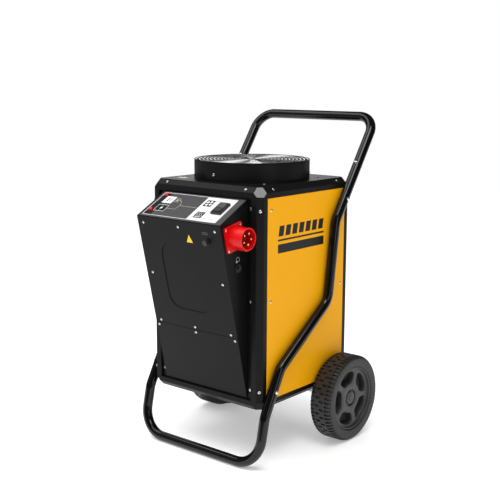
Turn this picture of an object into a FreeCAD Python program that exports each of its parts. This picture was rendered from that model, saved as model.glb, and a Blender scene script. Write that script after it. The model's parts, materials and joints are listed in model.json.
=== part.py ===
import FreeCAD, Part
import math
import os
import re

import Sketcher
from FreeCAD import Placement, Rotation, Vector

# Portable electric drying heater: a chamfered sheet-metal cabinet with a fan on top, a wedge-shaped
# control console in front, a bent tube frame with a handle, and two wheels.
# Frame: X to the machine's left-to-right, +Y to the rear, +Z up; the origin is on the floor.

# ---------------------------------------------------------------- driving dimensions (mm)

SIZES = {
    # cabinet
    "cab_width": 400, "cab_depth": 410, "cab_bottom": 156, "cab_top": 759, "cab_middle": -5,
    "sheet": 2, "edge_chamfer": 14, "corner_cut": 39,
    "band_low": 182, "band_high": 730, "post_side": 29, "post_front": 30, "flange": 40,
    "panel_gap": 0.25, "panel_proud": 0.5,
    "recess": 9,
    # console
    "console_half": 151.5, "console_skin": 1.5, "cover_skin": 2, "console_low": 186,
    "console_high": 727, "nose_reach": 313.5, "nose_high": 668, "console_foot": 205,
    "console_brow": 203, "seam_high": 359, "console_lip": 14, "flange_reach": 16,
    "press_width": 160, "press_low": 414, "press_high": 603, "press_radius": 42, "press_deep": 1.5,
    # controls
    "fascia_width": 294, "fascia_deep": 118, "fascia_skin": 0.8,
    "rocker_place": 102, "rocker_reach": 254, "rocker_width": 27, "rocker_length": 39,
    "rocker_thick": 15, "dip_radius": 60, "bezel_border": 4, "bezel_thick": 6, "bezel_deep": 26,
    "lamp_place": -124, "lamp_radius": 6, "lamp_rear": 223, "lamp_front": 285, "lamp_deep": 14,
    "probe_place": 97, "probe_high": 620, "probe_radius": 9, "probe_stem": 4, "probe_deep": 18,
    "inlet_reach": 260, "inlet_high": 633.5, "inlet_side": 70, "inlet_pitch": 56, "inlet_deep": 36,
    "inlet_tilt": 12, "shroud_radius": 29.5, "shroud_length": 50, "shroud_wall": 3,
    "pin_circle": 15, "pin_radius": 2.5, "earth_radius": 3, "pin_length": 30,
    "reset_reach": 243.5, "reset_high": 549.5, "reset_radius": 5.5, "reset_bezel": 11,
    "reset_gap": 0.7, "reset_length": 13, "limit_deep": 24,
    # electrics behind the console
    "plate_gap": 6, "plate_half": 120, "plate_low": 240, "plate_high": 600, "plate_foot": 12,
    "contactor_left": -70, "contactor_low": 500, "contactor_width": 50, "contactor_tall": 80,
    "contactor_deep": 50, "terminal_left": -60, "terminal_low": 400, "terminal_pitch": 14,
    "terminal_gap": 1, "terminal_tall": 40, "terminal_deep": 30,
    "cable_place": -60, "cable_high": 320, "cable_radius": 12, "grommet_thick": 3,
    # fan and air path
    "collar_radius": 164, "collar_tall": 54, "collar_screw": 18, "fan_hole": 150, "fan_radius": 148,
    "guard_pitch": 10.4, "guard_bar": 3.6, "guard_boss": 14, "hub_radius": 45, "hub_tall": 34,
    "blade_chord": 48, "blade_thick": 2.5, "blade_tilt": 32, "motor_radius": 50,
    "motor_low": 700, "motor_high": 764, "shaft_radius": 6, "fit_gap": 0.08,
    "bracket_ring": 14, "arm_width": 24, "arm_thick": 4,
    "duct_radius": 158, "duct_low": 250, "element_low": 440, "element_step": 45,
    "element_inner": 62, "element_pitch": 34, "element_radius": 6, "element_gap": 0.3,
    "rack_margin": 14, "rack_thick": 3,
    "spigot_radius": 85, "spigot_low": 142, "spigot_middle": -109,
    "mesh_pitch": 12, "mesh_bar": 2.5, "mesh_ring": 3,
    # tube frame
    "tube_radius": 14, "tube_wall": 2, "frame_half": 216, "joint_high": 806,
    "handle_rear": 300, "handle_high": 927, "foot_front": 236, "foot_bend": 75, "side_bend": 55,
    "bolt_radius": 3, "bolt_head": 6, "nut_thick": 5, "spacer_radius": 6, "spacer_long": 14,
    "sleeve_long": 80, "sleeve_wall": 1.9, "sleeve_gap": 0.1, "sleeve_bolt": 14,
    # wheels
    "wheel_radius": 125, "wheel_inner": 205, "wheel_outer": 275, "rim_radius": 92,
    "axle_rear": 130.5, "axle_radius": 10, "shoulder_radius": 12, "shoulder_half": 203,
    "axle_end": 6, "hub_inner": 206, "hub_outer": 258, "boss_radius": 30, "cap_pocket": 24,
    "cap_radius": 20, "cap_thick": 8, "cap_gap": 0.2, "tyre_shoulder": 12,
    "rim_inset": 4, "rim_border": 8, "front_dish": 12, "back_dish": 30,
    "kidney_front": 241, "kidney_inner": 44, "kidney_border": 14, "kidney_angle": 46,
    "bracket_inner": 170, "bracket_outer": 176, "bracket_lap": 140, "bracket_half": 26,
    "bracket_drop": 20, "bracket_thick": 4, "washer_radius": 18, "washer_thick": 2.7,
}

# side path of the tube frame below the handle joint: distance to the rear, height
FRAME_SIDE = [(105, 642), (74, 418), (-143, 266), (-208, 145)]

# screw and bolt places, as distances from the cabinet's middle and as heights
COVER_SCREW = (144, 121)
BROW_SCREW = 143
EAVE_SCREW = 145
POST_SCREWS = (210, 698)
SIDE_SCREWS = [(-161, 698), (-161, 453), (161, 453), (161, 208)]
REAR_SCREWS = [(x, high) for x in (-155, 155) for high in (208, 453, 698)]
COLLAR_SCREWS = (-90, 30, 150)
FACE_SCREWS = [(651, (-130, 0, 130)), (508, (-129, 129)), (366.5, (-130, 0, 130)),
               (351, (-141, 0, 141))]
FLANGE_SCREW = 160
FLANGE_SCREWS = (701.6, 454.4, 210.7)
FRAME_BOLTS = [(-173, 211), (147, 702)]

X, Y, Z = Vector(1, 0, 0), Vector(0, 1, 0), Vector(0, 0, 1)

doc = FreeCAD.newDocument("DryingHeater")
sheet = doc.addObject("Spreadsheet::Sheet", "Sizes")
for row, (alias, value) in enumerate(SIZES.items(), start=1):
    sheet.set("A%d" % row, alias)
    sheet.set("B%d" % row, str(value))
    sheet.setAlias("B%d" % row, alias)
doc.recompute()

parts = []


# ---------------------------------------------------------------- helpers

def size(name):
    """A driving dimension, read back from the sheet."""
    return float(sheet.get(name))


def rule(text):
    """An expression in which every size name points at its cell."""
    return re.sub(r"[a-z][a-z_]*", lambda word: "Sizes." + word.group(0)
                  if word.group(0) in SIZES else word.group(0), str(text))


def bind(obj, **rules):
    for prop, text in rules.items():
        obj.setExpression(prop, rule(text))
    return obj


def put(obj, corner):
    for axis, text in zip("xyz", corner):
        obj.setExpression("Placement.Base." + axis, rule(text))
    return obj


def block(name, corner, lengths):
    """A box from its lowest corner and its three lengths."""
    obj = doc.addObject("Part::Box", name)
    bind(obj, Length=lengths[0], Width=lengths[1], Height=lengths[2])
    return put(obj, corner)


def span(name, low, high):
    """A box between two corners."""
    return block(name, low, ["(%s) - (%s)" % (b, a) for a, b in zip(low, high)])


def rod(name, radius, length, start, axis=Z):
    obj = doc.addObject("Part::Cylinder", name)
    obj.Placement = Placement(Vector(), Rotation(Z, axis))
    bind(obj, Radius=radius, Height=length)
    return put(obj, start)


def placed(obj, placement):
    obj.Placement = placement
    return obj


def group(name, members):
    obj = doc.addObject("Part::Compound", name)
    obj.Links = members
    return obj


def join(name, *members):
    obj = doc.addObject("Part::MultiFuse", name)
    obj.Shapes = list(members)
    return obj


def meet(name, *members):
    obj = doc.addObject("Part::MultiCommon", name)
    obj.Shapes = list(members)
    return obj


def cut(name, base, *tools):
    obj = doc.addObject("Part::Cut", name)
    obj.Base = base
    obj.Tool = tools[0] if len(tools) == 1 else group(name + "_tools", list(tools))
    return obj


def ring(name, outer, inner, length, start, axis=Z):
    return cut(name, rod(name + "_outer", outer, length, start, axis),
               rod(name + "_inner", inner, length, start, axis))


def fillet(name, base, radius, wanted):
    """Round the edges of base for which wanted(edge) holds."""
    doc.recompute()
    numbers = [i for i, edge in enumerate(base.Shape.Edges, start=1) if wanted(edge)]
    obj = doc.addObject("Part::Fillet", name)
    obj.Base = base
    obj.Edges = [(i, radius, radius) for i in numbers]
    return obj


def along(edge, axis):
    """True for a straight edge parallel to axis."""
    if edge.Curve.TypeId != "Part::GeomLine":
        return False
    return edge.tangentAt(edge.FirstParameter).cross(axis).Length < 1e-6


def is_hoop(edge, radius):
    """True for a round edge of this radius."""
    return edge.Curve.TypeId == "Part::GeomCircle" and abs(edge.Curve.Radius - radius) < 0.01


def keep(obj, label):
    """Name a finished sub-part."""
    obj.Label = label
    parts.append(obj)
    return obj


def mirrored(label, source):
    """The left-hand copy of a right-hand sub-part."""
    obj = doc.addObject("Part::Mirroring", label)
    obj.Source = source
    obj.Normal = X
    return keep(obj, label)


def solid_feature(name, shape):
    obj = doc.addObject("Part::Feature", name)
    obj.Shape = shape
    return obj


def screw(spot, normal, head, shank, length):
    """A domed screw whose head sits at spot and faces along normal."""
    rise = head * 0.45
    ball = (head * head + rise * rise) / (2 * rise)
    dome = Part.makeSphere(ball, Vector(0, 0, rise - ball)).common(
        Part.makeCylinder(head, rise, Vector(0, 0, 0)))
    shape = dome.fuse(Part.makeCylinder(shank, length, Vector(0, 0, -length))).removeSplitter()
    shape.Placement = Placement(spot, Rotation(Z, normal))
    return shape


def hole(spot, normal, shank, length):
    shape = Part.makeCylinder(shank, 2 * length, Vector(0, 0, -length))
    shape.Placement = Placement(spot, Rotation(Z, normal))
    return shape


def screws(spots, head=4.3, shank=2.0, length=8.0):
    return [screw(spot, normal, head, shank, length) for spot, normal in spots]


def holes(label, spots, shank=2.0, length=8.0):
    """Round holes for the fasteners at these spots, as one tool for cutting sheets."""
    shape = Part.makeCompound([hole(s, n, shank, length) for s, n in spots])
    return solid_feature(label + "_holes", shape)


# ---------------------------------------------------------------- cabinet shell

def chamfered_box(name, inset, chamfer, corner):
    """A box with all edges chamfered and all eight corners cut flat."""
    wide = "(cab_width - 2 * (%s))" % inset
    deep = "(cab_depth - 2 * (%s))" % inset
    tall = "(cab_top - cab_bottom - 2 * (%s))" % inset
    middle_z = "(cab_top + cab_bottom) / 2"
    box = block(name + "_box", ["-%s / 2" % wide, "cab_middle - %s / 2" % deep,
                                "cab_bottom + %s" % inset], [wide, deep, tall])
    # a square prism turned 45 degrees about each axis trims the four edges along that axis
    about_x = block(name + "_x", ["-cab_width", "cab_middle", middle_z + " - (%s + %s) / 2 + %s" % (
        deep, tall, chamfer)], ["2 * cab_width"] + ["sqrt(2) * ((%s + %s) / 2 - %s)" % (
            deep, tall, chamfer)] * 2)
    about_y = block(name + "_y", ["0", "cab_middle - cab_depth", middle_z + " - (%s + %s) / 2 + %s" % (
        wide, tall, chamfer)], ["sqrt(2) * ((%s + %s) / 2 - %s)" % (wide, tall, chamfer),
                                "2 * cab_depth",
                                "sqrt(2) * ((%s + %s) / 2 - %s)" % (wide, tall, chamfer)])
    about_z = block(name + "_z", ["0", "cab_middle - (%s + %s) / 2 + %s" % (wide, deep, chamfer), "0"],
                    ["sqrt(2) * ((%s + %s) / 2 - %s)" % (wide, deep, chamfer)] * 2 + ["2 * cab_top"])
    for prism, axis, angle in ((about_x, X, 45), (about_y, Y, -45), (about_z, Z, 45)):
        prism.Placement = Placement(prism.Placement.Base, Rotation(axis, angle))
    trimmed = meet(name + "_edges", box, about_x, about_y, about_z)
    return cut(name, trimmed, *corner_blocks(name, inset, corner))


def corner_blocks(name, inset, corner):
    blocks = []
    side = 60.0
    cut_off = evaluate(corner)
    half = Vector(size("cab_width") / 2, size("cab_depth") / 2, (size("cab_top") - size("cab_bottom")) / 2)
    middle = Vector(0, size("cab_middle"), (size("cab_top") + size("cab_bottom")) / 2)
    reach = evaluate(inset)
    for number in range(8):
        sign = Vector(*[1 if number >> bit & 1 else -1 for bit in range(3)])
        tip = middle + Vector(*[sign[i] * (half[i] - reach - cut_off / 3) for i in range(3)])
        turn = Rotation(Z, sign)
        base = tip - turn.multVec(Vector(side / 2, side / 2, 0))
        obj = doc.addObject("Part::Box", "%s_corner_%d" % (name, number))
        bind(obj, Length=side, Width=side, Height=side)
        blocks.append(placed(obj, Placement(base, turn)))
    return blocks


def evaluate(text):
    """The number that an expression in the sheet's sizes stands for."""
    return float(sheet.evalExpression(rule(text)))


envelope = chamfered_box("envelope", "0", "edge_chamfer", "corner_cut")
hollow = chamfered_box("hollow", "sheet", "(edge_chamfer - sheet * (2 - sqrt(2)))",
                       "(corner_cut - sheet * (3 - sqrt(3)))")
shell = cut("shell", envelope, hollow)

front = "(cab_middle - cab_depth / 2)"
rear = "(cab_middle + cab_depth / 2)"
rear_y = evaluate(rear)
side_x = size("cab_width") / 2
edge = size("edge_chamfer") / 2
fan_y = size("cab_middle")

# screws of the cabinet: position, direction of the head
corners = [(sx, sy) for sx in (-1, 1) for sy in (-1, 1)]
edge_y = size("cab_depth") / 2 - edge
edge_high = size("cab_top") - edge
proud = side_x + size("panel_proud")
cover_spots = [(Vector(sx * COVER_SCREW[0], sy * COVER_SCREW[1] + fan_y, size("cab_top")), Z)
               for sx, sy in corners]
cover_spots += [(Vector(sx * BROW_SCREW, fan_y + sy * edge_y, edge_high), Vector(0, sy, 1))
                for sx, sy in corners]
cover_spots += [(Vector(sx * (side_x - edge), fan_y + sy * EAVE_SCREW, edge_high), Vector(sx, 0, 1))
                for sx, sy in corners]
post_spots = [(Vector(sx * (side_x - edge), fan_y + sy * edge_y, high), Vector(sx, sy, 0))
              for sx, sy in corners for high in POST_SCREWS]
side_spots = [(Vector(sx * proud, fan_y + y, high), Vector(sx, 0, 0)) for sx in (-1, 1)
              for y, high in SIDE_SCREWS]
rear_spots = [(Vector(x, rear_y + size("panel_proud"), high), Y) for x, high in REAR_SCREWS]
collar_spots = []
for degrees in COLLAR_SCREWS:
    outward = Rotation(Z, degrees).multVec(X)
    collar_spots.append((Vector(0, fan_y, size("cab_top") + size("collar_screw")) + outward
                         * size("collar_radius"), outward))
cabinet_screws = screws(cover_spots + post_spots + side_spots + rear_spots)
cabinet_screws += screws(collar_spots, length=5)
keep(solid_feature("cabinet_screws", Part.makeCompound(cabinet_screws)), "cabinet_screws")
cover_holes = holes("cover", cover_spots)
post_holes = holes("post", post_spots)
panel_holes = holes("panel", side_spots + rear_spots)
collar_holes = holes("collar", collar_spots)

# frame bolts: along X through the tube, a spacer, the side panel and the post flange
bolt_holes = holes("frame_bolt", [(Vector(sx * side_x, y, high), X) for sx in (-1, 1)
                                  for y, high in FRAME_BOLTS], size("bolt_radius"), 30)

low_half = span("below_band", ["-cab_width", "cab_middle - cab_depth", 0],
                ["cab_width", "cab_middle + cab_depth", "band_low"])
top_half = span("above_band", ["-cab_width", "cab_middle - cab_depth", "band_high"],
                ["cab_width", "cab_middle + cab_depth", "cab_top + 50"])
outlet_hole = rod("outlet_hole", "spigot_radius - sheet", 40, [0, "spigot_middle", "cab_bottom - 10"])
fan_opening = rod("fan_opening", "fan_hole", 40, [0, "cab_middle", "cab_top - 20"])
keep(cut("base_pan", meet("base_band", shell, low_half), outlet_hole), "base_pan")
keep(cut("top_cover", meet("top_band", shell, top_half), fan_opening, cover_holes), "top_cover")


def post(name, back):
    """A right-hand corner post; back is true for the rear one."""
    sign = 1 if back else -1
    edge_y = "cab_middle + %d * cab_depth / 2" % sign
    inner_y = "cab_middle + %d * (cab_depth / 2 - post_side)" % sign
    low_y, high_y = (inner_y, edge_y + " + 20") if back else (edge_y + " - 20", inner_y)
    corner = meet(name + "_corner", shell, span(
        name + "_zone", ["cab_width / 2 - post_front", low_y, "band_low"],
        ["cab_width / 2 + 20", high_y, "band_high"]))
    lap_y = "cab_middle + %d * (cab_depth / 2 - post_side) - flange / 2 - %d * 11" % (sign, sign)
    members = [corner, block(name + "_lap", ["cab_width / 2 + panel_proud - 2 * sheet", lap_y, "band_low"],
                             ["sheet", "flange", "band_high - band_low"])]
    if back:
        members.append(block(name + "_rear_lap", [
            "cab_width / 2 - 60", rear + " + panel_proud - 2 * sheet", "band_low"],
            [50, "sheet", "band_high - band_low"]))
    return cut(name, join(name + "_joined", *members), group(name + "_holes", [
        post_holes, panel_holes, bolt_holes]))


keep(post("front_post_right", False), "front_post_right")
mirrored("front_post_left", parts[-1])
keep(post("rear_post_right", True), "rear_post_right")
mirrored("rear_post_left", parts[-1])

panel = block("side_sheet", ["cab_width / 2 + panel_proud - sheet",
                             "cab_middle - cab_depth / 2 + post_side + panel_gap",
                             "band_low + panel_gap"],
              ["sheet", "cab_depth - 2 * (post_side + panel_gap)",
               "band_high - band_low - 2 * panel_gap"])
keep(cut("side_panel_right", panel, panel_holes, bolt_holes), "side_panel_right")
mirrored("side_panel_left", parts[-1])
back_sheet = block("rear_sheet", ["-(cab_width / 2 - post_front - panel_gap)",
                                  rear + " + panel_proud - sheet", "band_low + panel_gap"],
                   ["cab_width - 2 * (post_front + panel_gap)", "sheet",
                    "band_high - band_low - 2 * panel_gap"])
keep(cut("rear_panel", back_sheet, panel_holes), "rear_panel")

# recessed front panel: a shallow tray between the front posts
half_front = "(cab_width / 2 - post_front)"
tray = span("front_tray", ["-" + half_front, front, "band_low"],
            [half_front, front + " + recess + sheet", "band_high"])
tray_space = span("tray_space", ["-(%s - sheet)" % half_front, front + " - 1", "band_low + sheet"],
                  ["%s - sheet" % half_front, front + " + recess", "band_high - sheet"])

# ---------------------------------------------------------------- console

nose = Vector(0, -size("nose_reach"), size("nose_high"))
foot = Vector(0, -size("console_foot"), size("console_low"))
brow = Vector(0, -size("console_brow"), size("console_high"))
face_angle = math.degrees(math.atan2(foot.y - nose.y, nose.z - foot.z))
slope_angle = math.degrees(math.atan2(brow.z - nose.z, brow.y - nose.y))
face_turn = Rotation(X, face_angle)
slope_turn = Rotation(X, slope_angle)
face_normal = face_turn.multVec(-Y)


def on_face(x, high):
    """The point of the console's front face at this height."""
    return Vector(x, foot.y - (high - foot.z) * math.tan(math.radians(face_angle)), high)


def on_slope(x, reach):
    """The point of the console's sloping top, this far in front of the frame's origin."""
    return Vector(x, -reach, nose.z + (size("nose_reach") - reach) * math.tan(math.radians(slope_angle)))


def turned_block(name, middle, turn, wide, deep, tall, anchor):
    """A turned box; anchor says which of its own points lies at middle, each from 0 to 1."""
    obj = doc.addObject("Part::Box", name)
    bind(obj, Length=wide, Width=deep, Height=tall)
    own = Vector(evaluate(wide) * anchor[0], evaluate(deep) * anchor[1], evaluate(tall) * anchor[2])
    return placed(obj, Placement(middle - turn.multVec(own), turn))


def wedge(name, half, corners):
    """A prism along X through corners given as y and z rules, in a sketch bound to the sheet."""
    body = doc.addObject("PartDesign::Body", name)
    sketch = body.newObject("Sketcher::SketchObject", name + "_outline")
    plane = [f for f in body.Origin.OriginFeatures if f.Role == "YZ_Plane"][0]
    sketch.AttachmentSupport = [(plane, "")]
    sketch.MapMode = "FlatFace"
    points = [Vector(evaluate(y), evaluate(high), 0) for y, high in corners]
    for number, point in enumerate(points):
        sketch.addGeometry(Part.LineSegment(point, points[(number + 1) % len(points)]))
    for number in range(len(points)):
        sketch.addConstraint(Sketcher.Constraint("Coincident", number, 2, (number + 1) % len(points), 1))
    for number, (y, high) in enumerate(corners):
        across = sketch.addConstraint(Sketcher.Constraint(
            "DistanceX", -1, 1, number, 1, points[number].x))
        sketch.setExpression("Constraints[%d]" % across, rule(y))
        upward = sketch.addConstraint(Sketcher.Constraint(
            "DistanceY", -1, 1, number, 1, points[number].y))
        sketch.setExpression("Constraints[%d]" % upward, rule(high))
    pad = body.newObject("PartDesign::Pad", name + "_pad")
    pad.Profile = sketch
    pad.Midplane = True
    pad.setExpression("Length", rule("2 * (%s)" % half))
    return body


tray_back = front + " + recess"
full_wedge = wedge("console_form", "console_half", [
    (tray_back, "console_high"), ("-console_brow", "console_high"), ("-nose_reach", "nose_high"),
    ("-console_foot", "console_low"), (tray_back, "console_low")])
slim = "console_skin / cos(%.6f)" % slope_angle
deepen = "(cover_skin + console_skin) / cos(%.6f)" % face_angle
nose_in = "(nose_reach - (%s) - 2.0)" % deepen
inner_wedge = wedge("console_space", "console_half - console_skin", [
    (tray_back + " + 5", "console_high - (%s)" % slim),
    ("-console_brow", "console_high - (%s)" % slim),
    ("-%s" % nose_in, "nose_high - (%s) + (nose_reach - %s) * %.6f" % (
        slim, nose_in, math.tan(math.radians(slope_angle)))),
    ("-console_foot + (%s) - 0.2" % deepen, "console_low + console_skin"),
    (tray_back + " + 5", "console_low + console_skin")])
face_long = (nose - foot).Length
front_layer = turned_block("front_layer", foot, face_turn, "2 * console_half + 2", "cover_skin",
                           face_long + 20, (0.5, 0, 0.0))
window = turned_block("console_window", on_face(0, size("console_low")) + face_turn.multVec(Vector(
    0, 0, size("console_lip"))), face_turn, "2 * (console_half - console_lip)", 12,
    face_long - 2 * size("console_lip"), (0.5, 0, 0.0))
middle_bar = turned_block("console_bar", on_face(0, size("seam_high")) - face_normal * size(
    "cover_skin"), face_turn, "2 * (console_half - console_skin)", "console_skin", 44, (0.5, 0, 0.5))
flange_right = span("console_flange_right", ["console_half - console_skin", tray_back + " - console_skin",
                                             "console_low"],
                    ["console_half + flange_reach", tray_back, "console_high"])
flange_left = span("console_flange_left", ["-console_half - flange_reach", tray_back + " - console_skin",
                                           "console_low"],
                   ["-console_half + console_skin", tray_back, "console_high"])

face_spots = [(on_face(x, high), face_normal) for high, places in FACE_SCREWS for x in places]
flange_spots = [(Vector(sx * FLANGE_SCREW, evaluate(tray_back) - size("console_skin"), high), -Y)
                for sx in (-1, 1) for high in FLANGE_SCREWS]
console_holes = holes("console", face_spots)
flange_holes = holes("flange", flange_spots)

# openings for the controls
inlet_middle = Vector(size("console_half"), -size("inlet_reach"), size("inlet_high"))
inlet_turn = Rotation(X, size("inlet_tilt"))
inlet_plate_thick = 4
inlet_corners = [inlet_middle + inlet_turn.multVec(Vector(0, sy, sz) * size("inlet_pitch") / 2)
                 for sy, sz in corners]
inlet_opening = rod("inlet_opening", "shroud_radius - 1", 20,
                    ["console_half - 10", "-inlet_reach", "inlet_high"], X)
reset_opening = rod("reset_opening", "reset_radius + reset_gap", 20,
                    ["console_half - 10", "-reset_reach", "reset_high"], X)
inlet_spots = [(p + X * inlet_plate_thick, X) for p in inlet_corners]
inlet_holes = holes("inlet", inlet_spots)
console_screws = screws(face_spots, 3.7) + screws(flange_spots, 4.5, length=6)
console_screws += screws(inlet_spots, 3.7, length=7)
keep(solid_feature("console_screws", Part.makeCompound(console_screws)), "console_screws")
rocker_middle = on_slope(size("rocker_place"), size("rocker_reach"))
rocker_opening = turned_block("rocker_opening", rocker_middle, slope_turn, "rocker_width + 2",
                              "rocker_length + 2", 20, (0.5, 0.5, 0.5))
lamp_middles = [on_slope(size("lamp_place"), size(reach)) for reach in ("lamp_rear", "lamp_front")]
slope_normal = slope_turn.multVec(Z)
lamp_opening = holes("lamp", [(p, slope_normal) for p in lamp_middles], size("lamp_radius") - 1, 10)
probe_middle = on_face(size("probe_place"), size("probe_high"))
probe_opening = holes("probe", [(probe_middle, face_normal)], size("probe_radius") - 1, 10)

console_sheet = cut("console_sheet", full_wedge, front_layer)
console_frame = cut("console_frame", console_sheet, inner_wedge)
console_open = cut("console_open", console_frame, window)
console_solid = join("console_solid", console_open, middle_bar, flange_right, flange_left)
keep(cut("console_housing", console_solid, inlet_opening, reset_opening, inlet_holes, rocker_opening,
         lamp_opening, console_holes, flange_holes), "console_housing")

upper_part = span("upper_part", ["-cab_width", "-cab_depth", "seam_high + 0.2"],
                  ["cab_width", "0", "cab_top"])
lower_part = span("lower_part", ["-cab_width", "-cab_depth", "0"], ["cab_width", "0", "seam_high - 0.2"])
press_middle = on_face(0, (size("press_low") + size("press_high")) / 2)
press_tall = (size("press_high") - size("press_low")) / math.cos(math.radians(face_angle))


def pressing(name, grow, start, deep):
    """A rounded block in the upper cover's plane, from start to start + deep behind its face."""
    raw = turned_block(name + "_raw", press_middle + face_turn.multVec(Vector(0, start, 0)), face_turn,
                       "press_width + 2 * (%s)" % grow, deep, "%.4f + 2 * (%s)" % (press_tall, grow),
                       (0.5, 0, 0.5))
    axis = face_turn.multVec(Y)
    return fillet(name, raw, size("press_radius") + evaluate(grow), lambda e: along(e, axis))


layer_up = meet("upper_layer", full_wedge, front_layer, upper_part)
dish_back = pressing("dish_back", "cover_skin", 0, "press_deep + cover_skin")
dish_front = pressing("dish_front", "0", 0, "press_deep")
keep(cut("console_upper_cover", join("upper_with_dish", layer_up, dish_back), dish_front, console_holes,
         probe_opening), "console_upper_cover")
keep(cut("console_lower_cover", meet("lower_layer", full_wedge, front_layer, lower_part), console_holes),
     "console_lower_cover")

cable_hole = rod("cable_hole", "cable_radius", 30, ["cable_place", front, "cable_high"], Y)
keep(cut("front_panel", tray, tray_space, cable_hole, flange_holes), "front_panel")

# ---------------------------------------------------------------- controls

fascia_middle = on_slope(2, (size("console_brow") + size("nose_reach")) / 2 + 0.5)
fascia = turned_block("fascia_sheet", fascia_middle, slope_turn, "fascia_width", "fascia_deep",
                      "fascia_skin", (0.5, 0.5, 0))
keep(cut("control_fascia", fascia, rocker_opening, lamp_opening), "control_fascia")

lift = slope_normal * size("fascia_skin")
bezel_outer = turned_block("bezel_outer", rocker_middle + lift, slope_turn,
                           "rocker_width + 2 * bezel_border", "rocker_length + 2 * bezel_border",
                           "bezel_thick", (0.5, 0.5, 0))
bezel_body = turned_block("bezel_body", rocker_middle + lift, slope_turn, "rocker_width + 2",
                          "rocker_length + 2", "bezel_deep", (0.5, 0.5, 1))
bezel_space = turned_block("bezel_space", rocker_middle - slope_normal * 16, slope_turn, "rocker_width",
                           "rocker_length + 1", 30, (0.5, 0.5, 0))
keep(cut("rocker_bezel", join("bezel_solid", bezel_outer, bezel_body), bezel_space), "rocker_bezel")

pivot = rocker_middle + lift
key_block = turned_block("key_block", pivot, slope_turn, "rocker_width - 0.6", "rocker_length + 10",
                         "rocker_thick", (0.5, 0.5, 0.45))
key_round = doc.addObject("Part::Cylinder", "key_round")
bind(key_round, Radius="rocker_length / 2", Height="rocker_width")
placed(key_round, Placement(pivot - X * size("rocker_width") / 2, Rotation(Z, X)))
key_dip = doc.addObject("Part::Cylinder", "key_dip")
bind(key_dip, Radius="dip_radius", Height="rocker_width")
placed(key_dip, Placement(pivot - X * size("rocker_width") / 2 + slope_normal * (
    size("dip_radius") + size("bezel_thick")), Rotation(Z, X)))
keep(cut("power_rocker", meet("key_form", key_block, key_round), key_dip), "power_rocker")


def turned_rod(name, start, axis, radius, length):
    obj = doc.addObject("Part::Cylinder", name)
    bind(obj, Radius=radius, Height=length)
    return placed(obj, Placement(start, Rotation(Z, axis)))


for label, middle in zip(("power_lamp", "fault_lamp"), reversed(lamp_middles)):
    lens = turned_rod(label + "_lens", middle + lift + slope_normal * 1.5, slope_normal,
                      "lamp_radius - 0.5", 3)
    stem = turned_rod(label + "_stem", middle - slope_normal * size("lamp_deep"), slope_normal,
                      "lamp_radius - 1.2", "lamp_deep + fascia_skin + 2")
    keep(join(label, lens, stem), label)
bezels = []
for number, middle in enumerate(lamp_middles):
    outside = turned_rod("lamp_ring_%d" % number, middle + lift, slope_normal, "lamp_radius + 1.5", 1.5)
    inside = turned_rod("lamp_bore_%d" % number, middle, slope_normal, "lamp_radius - 1.2", 5)
    bezels.append(cut("lamp_bezel_%d" % number, outside, inside))
keep(group("lamp_bezels", bezels), "lamp_bezels")

socket_flange = turned_rod("socket_flange", probe_middle, face_normal, "probe_radius", 3)
socket_body = turned_rod("socket_body", probe_middle - face_normal * size("probe_deep"), face_normal,
                         "probe_radius - 1", "probe_deep")
socket_bore = turned_rod("socket_bore", probe_middle - face_normal * 15, face_normal,
                         "probe_stem + 0.2", 30)
keep(cut("probe_socket", join("socket_solid", socket_flange, socket_body), socket_bore), "probe_socket")
cap_head = turned_rod("cap_head", probe_middle + face_normal * 3, face_normal, "probe_radius - 1.5", 7)
cap_stem = turned_rod("cap_stem", probe_middle - face_normal * 12, face_normal, "probe_stem", 15)
keep(join("probe_plug", cap_head, cap_stem), "probe_plug")

cheek = "console_half"
plate_raw = turned_block("inlet_plate_raw", inlet_middle, inlet_turn, inlet_plate_thick, "inlet_side",
                         "inlet_side", (0, 0.5, 0.5))
inlet_plate = fillet("inlet_plate", plate_raw, 6, lambda e: along(e, X))
inlet_tube = rod("inlet_tube", "shroud_radius", "shroud_length", [cheek, "-inlet_reach", "inlet_high"], X)
inlet_rear = rod("inlet_rear", "shroud_radius - 2", "inlet_deep",
                 [cheek + " - inlet_deep", "-inlet_reach", "inlet_high"], X)
inlet_mouth = rod("inlet_mouth", "shroud_radius - shroud_wall", "shroud_length + inlet_deep - 2",
                  [cheek + " - inlet_deep + 2", "-inlet_reach", "inlet_high"], X)
key_rib = turned_block("inlet_key", inlet_middle + inlet_turn.multVec(Vector(0, 0, -size(
    "shroud_radius"))), inlet_turn, "shroud_length - 6", 9, 5, (0, 0.5, 0.6))
inlet_solid = join("inlet_solid", inlet_plate, inlet_tube, inlet_rear, key_rib)
keep(cut("inlet_housing", inlet_solid, inlet_mouth, inlet_holes), "inlet_housing")
insert_length = 50
insert_face = cheek + " - inlet_deep + 2.2 + %d" % insert_length
keep(rod("inlet_insert", "shroud_radius - shroud_wall - 0.2", insert_length,
         [insert_face + " - %d" % insert_length, "-inlet_reach", "inlet_high"], X), "inlet_insert")
pins = []
for number in range(5):
    turn = Rotation(X, size("inlet_tilt") + 180 + 72 * number)
    spot = Vector(evaluate(insert_face), inlet_middle.y, inlet_middle.z)
    spot += turn.multVec(Z * size("pin_circle"))
    pins.append(turned_rod("inlet_pin_%d" % number, spot, X, "pin_radius" if number else "earth_radius",
                           "pin_length"))
keep(group("inlet_pins", pins), "inlet_pins")

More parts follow.
